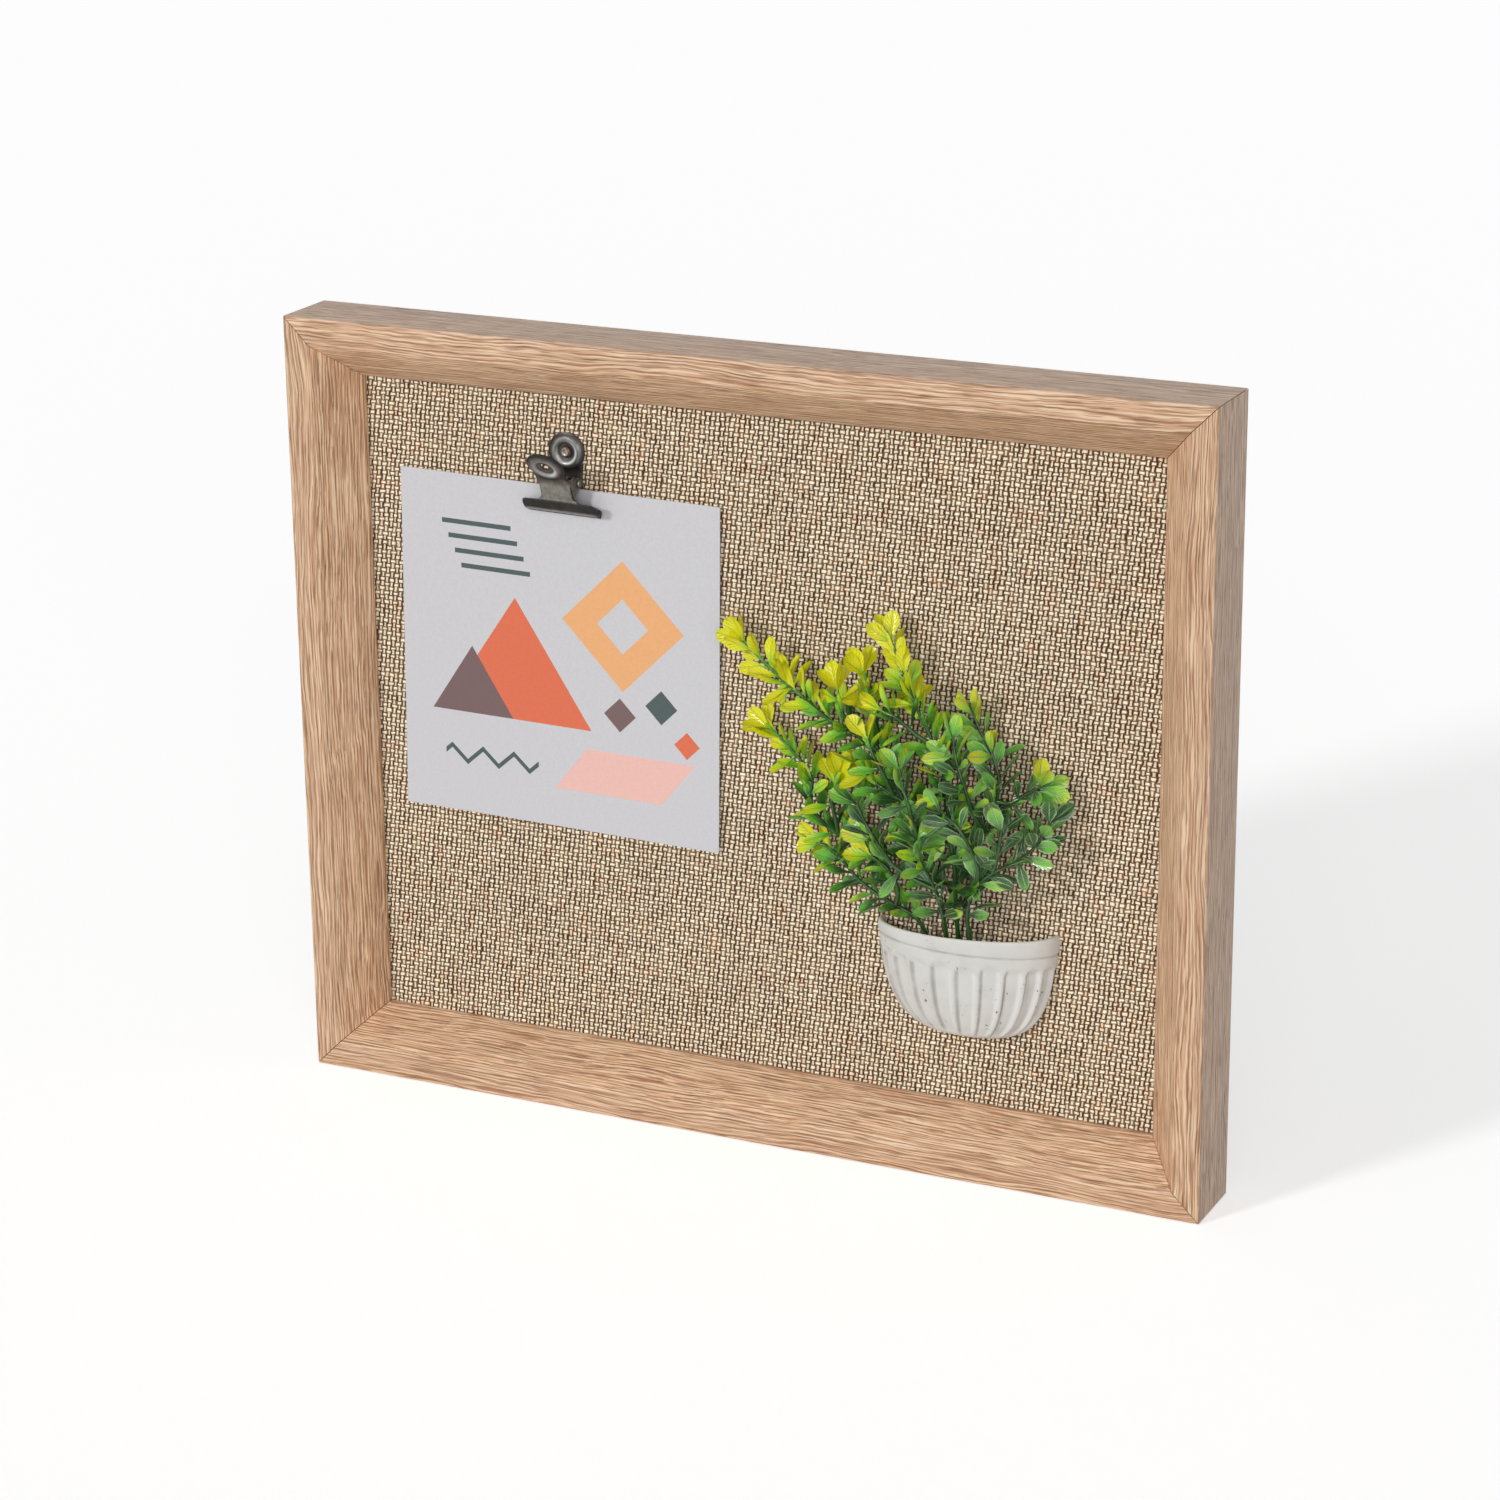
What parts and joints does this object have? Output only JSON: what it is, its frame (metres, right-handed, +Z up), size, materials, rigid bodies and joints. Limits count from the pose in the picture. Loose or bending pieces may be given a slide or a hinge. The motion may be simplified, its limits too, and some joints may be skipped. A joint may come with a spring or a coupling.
{
  "type": "clip collage frame",
  "caption": "Shadow-box picture frame in oak with a linen board, a spring clip holding a square photo card, and a fluted half pot of artificial boxwood.",
  "frame": {"origin": "middle of the underside of the bottom rail", "axes": "+Z up, +X to the right seen from the front, and the front faces -Y"},
  "size_m": [0.275, 0.0349, 0.225],
  "materials": {
    "oak": "oiled, open grain",
    "linen": "coarse plain weave",
    "grey_board": "uncoated",
    "hardboard": "smooth pressed face",
    "zinc": "zinc plated",
    "gunmetal": "dark satin plating",
    "bright_steel": "bright",
    "card_stock": "matt coated",
    "glaze": "unglazed white",
    "foam": "floral foam",
    "boxwood": "satin moulded plastic"
  },
  "bodies": {
    "frame": {"rail_bottom": "oak", "button_screw_bottom": "zinc", "rail_left": "oak", "button_screw_left": "zinc", "rail_top": "oak", "button_screw_top": "zinc", "rail_right": "oak", "button_screw_right": "zinc", "v_nail_bottom_left": "zinc", "v_nail_top_left": "zinc", "v_nail_top_right": "zinc", "v_nail_bottom_right": "zinc", "linen_cover": "linen", "core_board": "grey_board", "back_panel": "hardboard", "sawtooth_hanger": "zinc", "hanger_nail_left": "zinc", "hanger_nail_right": "zinc", "clip_rear_plate": "gunmetal", "clip_pivot_pin": "gunmetal", "clip_spring": "bright_steel", "clip_rivet": "bright_steel", "half_pot": "glaze", "foam_plug": "foam", "sprig_lower_left": "boxwood", "sprig_upper_left": "boxwood", "sprig_front": "boxwood", "sprig_upper_middle": "boxwood", "sprig_right": "boxwood", "sprig_lower_right": "boxwood"},
    "clip_jaw": {"clip_front_plate": "gunmetal"},
    "card": {"photo_card": "card_stock"},
    "bottom_button": {"turn_button_bottom": "zinc"},
    "left_button": {"turn_button_left": "zinc"},
    "top_button": {"turn_button_top": "zinc"},
    "right_button": {"turn_button_right": "zinc"}
  },
  "joints": [
    {"name": "clip_jaw_hinge", "type": "hinge", "parent": "frame", "child": "clip_jaw", "pos_m": [-0.0562, 0.00005, 0.183], "axis": [-0.9999, 0, 0.0157], "range_deg": [0, 40], "stiffness_Nm_per_rad": 0.08, "springref_deg": -28.65, "deforming": ["clip_spring"]},
    {"name": "card_slide", "type": "slide", "parent": "frame", "child": "card", "axis": [-0.0157, 0, -0.9999], "range_m": [0, 0.007]},
    {"name": "bottom_button_turn", "type": "hinge", "parent": "frame", "child": "bottom_button", "pos_m": [0.062, 0.01185, 0.005], "axis": [0, 1, 0], "range_deg": [0, 90]},
    {"name": "left_button_turn", "type": "hinge", "parent": "frame", "child": "left_button", "pos_m": [-0.1325, 0.01185, 0.1125], "axis": [0, 1, 0], "range_deg": [0, 90]},
    {"name": "top_button_turn", "type": "hinge", "parent": "frame", "child": "top_button", "pos_m": [-0.062, 0.01185, 0.22], "axis": [0, 1, 0], "range_deg": [0, 90]},
    {"name": "right_button_turn", "type": "hinge", "parent": "frame", "child": "right_button", "pos_m": [0.1325, 0.01185, 0.1125], "axis": [0, 1, 0], "range_deg": [0, 90]}
  ]
}
